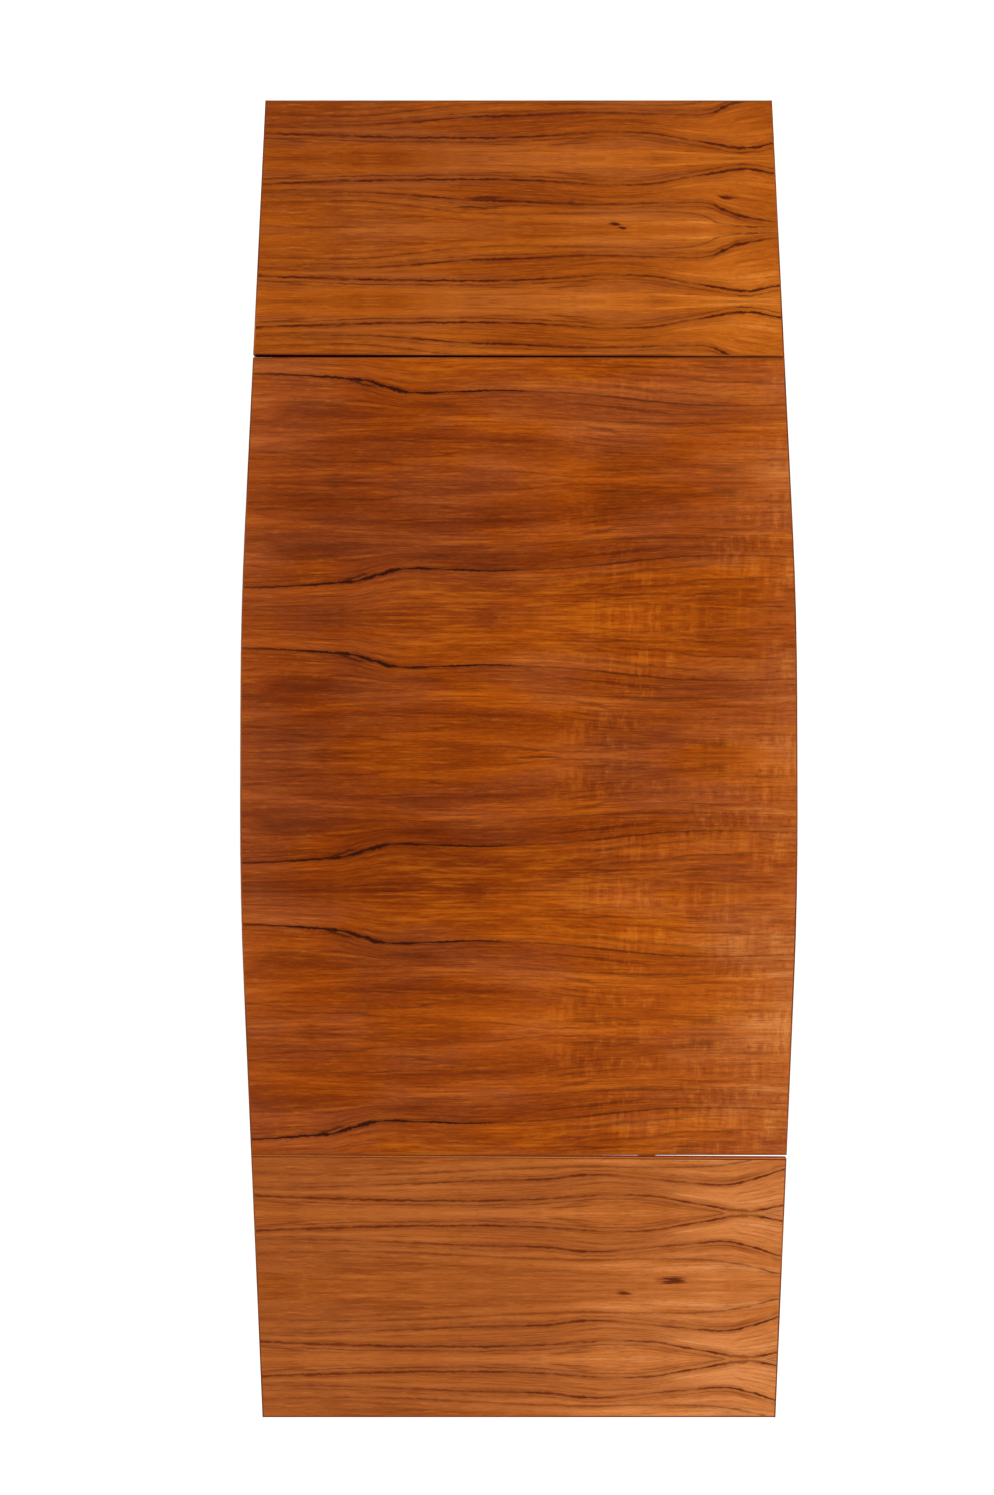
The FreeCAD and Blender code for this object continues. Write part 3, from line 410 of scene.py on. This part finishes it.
LEAF_FIGURE = {"broad": (2.5, 4, 1.1, 0.55, 0.75), "bands": (3.5, 9, 6.4, 0.6, 0.75),
               "lines": (8, 20, 8.3, 0.6, 0.48), "streaks": (22, 42, 2.8, 0.6, 0.32),
               "fine": (80, 80, 9.1, 0.6, 0.36)}
LEAF_ALONG = [(0.0, 0.36), (0.2, 0.35), (0.5, 0.43), (0.8, 0.56), (1.0, 0.64)]
LEAF_BASE = -0.03        # added to the lightness of both leaves
# The haze colour is partly painted sheen for the finish's reflection haze, partly the veneer's own
# tone.
LEAF_DULL_SHEEN, LEAF_PORE = srgb(156, 84, 38), srgb(98, 42, 8)
LEAF_FLECKS = [(28, 54, 3.9, 0.57, 0.67, 0.22, srgb(212, 124, 40)),
               (24, 54, 6.1, 0.57, 0.67, 0.32, srgb(112, 48, 6)),
               (7, 26, 4.7, 0.56, 0.70, 0.34, srgb(118, 52, 6))]

# seed and shift move the noise and the veins, right lightens the right-hand side, outward
# lightens towards +X, and across is how light the veneer is from joint to joint.
LEAF_LOOKS = {
    "a": {
        "seed": 1, "shift": 0.0, "thin": LEAF_A_THIN, "mid": LEAF_A_MID,
        "ink": srgb(76, 22, 0), "right": -0.03, "outward": -0.5,
        "palette": [(0.00, srgb(106, 38, 0)), (0.25, srgb(135, 57, 0)), (0.45, srgb(156, 73, 6)),
                    (0.65, srgb(173, 86, 13)), (0.85, srgb(190, 101, 24)),
                    (1.00, srgb(208, 119, 42))],
        "across": [(0.0, 0.07), (0.15, 0.12), (0.31, 0.01), (0.48, 0.0), (0.60, 0.03),
                   (0.70, 0.03), (0.80, 0.09), (1.0, 0.11)],
        "spots": [(-0.162, 0.894, 0.010, 0.0042, -0.4, 1.0),
                  (-0.175, 0.887, 0.007, 0.0036, -0.8, 1.0),
                  (-0.352, 0.938, 0.017, 0.0054, -1.0, 1.0),
                  (0.323, 0.888, 0.066, 0.0028, 0.0, 0.55),
                  (0.058, 0.9375, 0.034, 0.0032, 0.0, 0.85),
                  (0.071, 0.922, 0.046, 0.0036, 0.0, 0.80),
                  (-0.089, 0.930, 0.012, 0.0042, 0.0, 0.75)],
    },
    "b": {
        "seed": -1, "shift": 8.5, "thin": LEAF_B_THIN, "mid": LEAF_B_MID,
        "ink": srgb(94, 36, 8), "right": 0.18, "outward": -0.1,
        "palette": [(0.00, srgb(118, 50, 6)), (0.25, srgb(144, 69, 17)), (0.45, srgb(162, 84, 28)),
                    (0.65, srgb(178, 98, 41)), (0.85, srgb(195, 115, 57)),
                    (1.00, srgb(206, 129, 72))],
        "across": [(0.0, 0.04), (0.20, 0.05), (0.38, 0.05), (0.50, 0.11), (0.60, 0.04),
                   (0.68, 0.03), (0.80, 0.11), (1.0, 0.11)],
        "spots": [(-0.258, -0.876, 0.026, 0.0062, 0.25, 1.0),
                  (-0.176, -0.897, 0.014, 0.0048, -0.5, 1.0)],
    },
}


def leaf_veneer(end, look):
    """Face veneer of a leaf: four golden sheets with wavy dark veins that meet at each joint."""
    web = material_web(f"leaf_{end}_veneer")
    seed, middle = look["seed"], LEAF_MIDDLE[end]
    t, v = grain_frame(web, middle, LEAF_SHEET, look["shift"] / LEAF_STEPS, 0.0)
    ragged = web.add(
        swing(web, web.noise(web.times(t, 45), web.times(web.x, 20), seed * 3.0), 0.024),
        swing(web, web.noise(web.times(t, 170), web.times(web.x, 60), seed * 4.0), 0.016))
    beside = web.add(ragged, swing(web, web.noise(web.times(t, 7), 0.0, seed * 7.0), 0.05))
    thin, _ = vein(web, t, v, look["thin"], LEAF_STEPS, ragged)
    mid, mid_place = vein(web, t, v, look["mid"], LEAF_STEPS, ragged)
    thick, thick_place = vein(web, t, v, LEAF_THICK, LEAF_STEPS, ragged)
    twin, _ = vein(web, t, v, LEAF_THICK, LEAF_STEPS, beside, 4.4, 0.8, 1.6)
    twin_mid, _ = vein(web, t, v, look["mid"], LEAF_STEPS, beside, -3.8, 0.7, 1.4)

    flow = between(web, v, (mid_place, 0.38), (thick_place, 0.68))
    layers, figure = figured(web, t, flow, LEAF_FIGURE)
    patches = web.noise(web.times(web.x, 4.1), web.times(web.y, 2.9), 3.7, 2.0)
    cloudy = web.noise(web.times(t, 2.6), web.times(v, 3.0), seed * 2.2, 2.0)
    pores = web.noise(web.times(t, 90), web.times(flow, 80), 1.3, 1.0)
    shade = web.add(
        figure, swing(web, patches, 0.45), web.curve(t, LEAF_ALONG),
        web.curve(flow, look["across"]), LEAF_BASE,
        web.times(web.ramp(t, 0.35, 0.85), look["right"]),
        web.times(web.minus(web.x, middle), look["outward"]))

    clear = web.colours(shade, look["palette"])
    # The hazy colour is partly painted sheen for the finish's reflection haze, and partly the
    # veneer's own duller tone.
    dull_sheen_mask = web.times(web.ramp(cloudy, 0.40, 0.62), web.ramp(t, 0.96, 0.70))
    colour = web.mix(web.times(dull_sheen_mask, 0.7), clear, web.mix(0.55, clear, LEAF_DULL_SHEEN))
    colour = flecked(web, colour, t, flow, LEAF_FLECKS)
    uneven = web.ramp(web.noise(web.times(t, 14), web.times(v, 9), seed * 5.0),
                      0.34, 0.58, 0.55, 1.0)
    near = web.ramp(web.math("ABSOLUTE", web.minus(v, thick_place)), 0.04, 0.30, 1.0, 0.5)
    wide_hairs = web.times(hairlines(web, t, flow, 11.0, 21.4, 0.20), near, 0.75)
    close_hairs = web.times(hairlines(web, t, flow, 23.0, 25.8, 0.26), near, 0.5)
    drawn = web.strongest(thin, mid, thick, web.times(twin, 0.8), web.times(twin_mid, 0.7))
    dark = web.strongest(web.times(drawn, uneven), wide_hairs, close_hairs)
    dark = spotted(web, dark, look["spots"], layers["streaks"])
    colour = web.mix(dark, colour, look["ink"])
    return oiled(web, colour, dark, pores, 0.22, LEAF_PORE, layers)


for number, (lighter, dull_and_sheen) in SHEET_LOOKS.items():
    dress([f"main_veneer_sheet_{number}"], main_veneer(number, lighter, dull_and_sheen))
for end, look in LEAF_LOOKS.items():
    dress([f"leaf_{end}_veneer_sheets"], leaf_veneer(end, look))


# ------------------------------------------------------------------ solid wood and metal

# Each wood is its dark, middle and light colour.
EDGE = (srgb(82, 35, 9), srgb(125, 62, 21), srgb(163, 94, 41))
FRAME = (srgb(104, 44, 10), srgb(146, 70, 22), srgb(180, 98, 38))
PLAIN = (srgb(142, 98, 56), srgb(178, 134, 86), srgb(204, 166, 118))
BACKING = (srgb(110, 62, 30), srgb(142, 88, 48), srgb(166, 110, 66))
RIM_SHADE = srgb(88, 32, 8)           # painted shade on the rounded arrises of the top
JOINT_A_SHADE = srgb(96, 28, 4)       # the faces of the joint at end A, painted dark as the shade in its gap, and those at end B
# End B's joint faces are painted light, to cancel the shadow in that gap.
JOINT_B_LIGHT = srgb(230, 150, 86)
HEART = (0.137, -0.071)         # how far from the middle of the part the rings turn
PORE_DEPTH = 0.45               # the share of the dark colour that a pore keeps


def solid_wood(name, axis, wood, ring=55.0, rough=0.5, shine=0.25, rim_shade=0.0, joint=None):
    """Sawn wood with its grain along one axis, so that sawn ends show rings and pores. rim
    darkens the arrises with painted shade, and joint is a colour painted on the faces that
    don't look up: painted shade or painted light in a joint's gap."""
    web = material_web(name)
    dark, middle, light = wood
    along, one, two = {"x": (web.x, web.y, web.z), "y": (web.y, web.x, web.z),
                       "z": (web.z, web.x, web.y)}[axis]

    def grain(scale_along, scale_across, *settings):
        return web.noise(web.times(along, scale_along), web.times(one, scale_across),
                         web.times(two, scale_across), *settings)

    bend = swing(web, grain(1.7, 3), 0.03)
    radius = web.distance(web.add(one, HEART[0], bend), web.add(two, HEART[1], bend))
    rings = web.math("PINGPONG", web.times(radius, ring), 1.0)
    bands = grain(2.5, 60, 3.0, 0.6)
    streaks = grain(9, 320, 2.0, 0.6)
    pores = grain(60, 1300, 1.0)
    lines = grain(5, 170, 2.0, 0.6)
    patches = web.noise(web.times(web.x, 6), web.times(web.y, 6), web.times(web.z, 6), 2.0)
    shade = web.add(0.5, swing(web, rings, 0.30), swing(web, bands, 0.9),
                    swing(web, streaks, 0.9), swing(web, patches, 0.5))
    colour = web.colours(shade, [(0.05, dark), (0.5, middle), (0.95, light)])
    colour = web.mix(web.times(web.ramp(lines, 0.56, 0.66), 0.45), colour, dark)
    ticks = web.times(web.ramp(pores, 0.58, 0.72), 0.5)
    colour = web.mix(ticks, colour, tuple(PORE_DEPTH * part for part in dark[:3]) + (1.0,))
    # The faces that don't look up take the joint colour: painted shade or painted light for a
    # joint's gap.
    if rim_shade or joint:
        normal = web.node("ShaderNodeNewGeometry").outputs["Normal"]
        upward = web.node("ShaderNodeSeparateXYZ", {0: normal}).outputs[2]
        painted_edge_mask = web.ramp(upward, 0.995, 0.6)
        # rim paints shade on the arrises, the faces that tilt between up and sideways
        if rim_shade:
            painted_edge_mask = web.times(painted_edge_mask, web.ramp(upward, 0.05, 0.4), rim_shade)
        colour = web.mix(painted_edge_mask, colour, joint or RIM_SHADE)
    roughness = web.ramp(streaks, 0.3, 0.7, rough - 0.06, rough + 0.06)
    height = web.add(web.times(streaks, 0.6), web.times(ticks, -1.0))
    return web.finish(colour, roughness, height, WOOD_BUMP, Specular_IOR_Level=shine)


def brushed_metal(name, dark, light, rough):
    web = material_web(name)
    turned = web.noise(web.times(web.x, 300), web.times(web.y, 300), web.times(web.z, 4000), 2.0)
    stains = web.noise(*(web.times(place, 180) for place in (web.x, web.y, web.z)), 3.0)
    colour = web.colours(web.add(web.times(turned, 0.5), web.times(stains, 0.5)),
                         [(0.35, dark), (0.62, light)])
    roughness = web.ramp(web.add(web.times(turned, 0.4), web.times(stains, 0.6)),
                         0.35, 0.65, rough - 0.08, rough + 0.12)
    return web.finish(colour, roughness, turned, METAL_BUMP, Metallic=1.0)


ENDS = ["a", "b"]
SIDES = ["left", "right"]
CORNERS = ["a_left", "b_left", "b_right", "a_right"]

# The edging's arrises get painted shade through rim.
dress(["main_edging_left", "main_edging_right"]
      + [f"leaf_{end}_edging_{side}" for end in ENDS for side in SIDES],
      solid_wood("edging_along", "x", EDGE, 120.0, 0.5, LOW_SHINE, rim_shade=0.75))
dress([f"leaf_{end}_edging_outer" for end in ENDS],
      solid_wood("edging_across", "y", EDGE, 120.0, 0.5, LOW_SHINE, rim_shade=0.75))
# The joint faces get painted shade at end A and painted light at end B, for the gaps between top
# and leaves.
for end, joint in zip(ENDS, (JOINT_A_SHADE, JOINT_B_LIGHT)):
    dress([f"main_edging_end_{end}", f"leaf_{end}_edging_inner"],
          solid_wood(f"edging_at_joint_{end}", "y", EDGE, 120.0, 0.8, 0.0, joint=joint))
dress(["side_apron_left", "side_apron_right"], solid_wood("frame_wood_along", "x", FRAME))
dress([f"end_apron_{end}" for end in ENDS], solid_wood("frame_wood_across", "y", FRAME))
dress([f"leg_{corner}" for corner in CORNERS], solid_wood("leg_wood", "z", FRAME))
dress([f"leaf_{end}_bearer_{side}" for end in ENDS for side in SIDES],
      solid_wood("bearer_wood", "x", PLAIN, 40.0, 0.6))
dress([f"cross_rail_{end}" for end in ENDS]
      + [f"leaf_{end}_{name}" for name in ("batten", "stop_pegs") for end in ENDS]
      + [f"corner_block_{corner}" for corner in CORNERS] + ["top_buttons"],
      solid_wood("block_wood", "y", PLAIN, 40.0, 0.6))
dress(["main_backing_veneer"] + [f"leaf_{end}_backing_veneer" for end in ENDS],
      solid_wood("backing_veneer", "y", BACKING, 30.0, 0.65))
dress(["main_core"] + [f"leaf_{end}_core" for end in ENDS],
      solid_wood("core_board", "y", PLAIN, 40.0, 0.7))
dress([f"glide_{corner}" for corner in CORNERS],
      brushed_metal("glide_metal", srgb(150, 150, 148), srgb(202, 202, 198), 0.34))
dress(["button_screws", "corner_block_screws"] + [f"leaf_{end}_screws" for end in ENDS],
      brushed_metal("screw_metal", srgb(150, 116, 60), srgb(206, 170, 100), 0.36))

# Only the turned pieces are shaded smooth: flat faces stay flat.
for name, mesh_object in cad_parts.items():
    if not name.startswith(("leg_", "glide_")):
        faces = mesh_object.data.polygons
        faces.foreach_set("use_smooth", [False] * len(faces))


# ------------------------------------------------------------------ floor, light and camera

def seen_directly(web):
    """1 for what the camera sees straight, in a mirror or through glass."""
    path = web.node("ShaderNodeLightPath").outputs
    return web.strongest(path["Is Camera Ray"], path["Is Glossy Ray"], path["Is Transmission Ray"])


def build_floor():
    corners = [(x * FLOOR_HALF, y * FLOOR_HALF, 0) for x, y in ((-1, -1), (1, -1), (1, 1), (-1, 1))]
    mesh = bpy.data.meshes.new("floor")
    mesh.from_pydata(corners, [], [(0, 1, 2, 3)])
    floor = bpy.data.objects.new("floor", mesh)
    bpy.context.scene.collection.objects.link(floor)
    floor.location.z = -FLOOR_DROP
    web = material_web("floor")
    level = web.ramp(web.distance(web.x, web.y), GLOW_NEAR, GLOW_FAR, FLOOR_GLOW, 1.0)
    matte = web.node("ShaderNodeBsdfDiffuse", {"Color": (FLOOR_GREY, FLOOR_GREY, FLOOR_GREY, 1)})
    glow = web.node("ShaderNodeEmission",
                    {"Color": WHITE, "Strength": web.times(seen_directly(web), level)})
    both = web.node("ShaderNodeAddShader", {0: matte.outputs[0], 1: glow.outputs[0]})
    web.node("ShaderNodeOutputMaterial", {"Surface": both.outputs[0]})
    mesh.materials.append(web.owner)


def build_world():
    world = bpy.data.worlds.new("studio")
    web = Web(world)
    level = web.ramp(seen_directly(web), 0.0, 1.0, WORLD_FILL, 1.0, smooth=False)
    background = web.node("ShaderNodeBackground", {"Color": WHITE, "Strength": level})
    web.node("ShaderNodeOutputWorld", {"Surface": background.outputs[0]})
    bpy.context.scene.world = world


def soft_box(name, place, power):
    """A square lamp that faces the middle of the table top."""
    lamp = bpy.data.lights.new(name, "AREA")
    lamp.energy = power
    lamp.shape = "SQUARE"
    lamp.size = LIGHT_SIZE
    lamp_object = bpy.data.objects.new(name, lamp)
    lamp_object.location = place
    inward = Vector((0, 0, TABLE_HEIGHT)) - Vector(place)
    lamp_object.rotation_euler = inward.to_track_quat("-Z", "Y").to_euler()
    bpy.context.scene.collection.objects.link(lamp_object)


def build_camera():
    """Straight above the table, end A up, leaning a degree towards end B."""
    back = Vector((-math.sin(CAMERA_LEAN), 0, math.cos(CAMERA_LEAN)))
    up = Vector((math.cos(CAMERA_LEAN), 0, math.sin(CAMERA_LEAN)))
    right = up.cross(back)
    camera = bpy.data.cameras.new("camera")
    camera.sensor_fit = "VERTICAL"
    camera.sensor_height = SENSOR
    camera.lens = SENSOR * CAMERA_DISTANCE / FRAME_HEIGHT
    camera.clip_end = CLIP_END
    camera_object = bpy.data.objects.new("camera", camera)
    turned = Matrix([[right[i], up[i], back[i], 0] for i in range(3)] + [[0, 0, 0, 1]])
    place = Vector(CAMERA_AIM) + back * CAMERA_DISTANCE
    camera_object.matrix_world = Matrix.Translation(place) @ turned
    bpy.context.scene.collection.objects.link(camera_object)
    bpy.context.scene.camera = camera_object


build_floor()
build_world()
for name, (place, power) in LIGHTS.items():
    soft_box(name, place, power)
build_camera()
bpy.context.scene.view_settings.view_transform = "Standard"

bpy.context.view_layer.update()
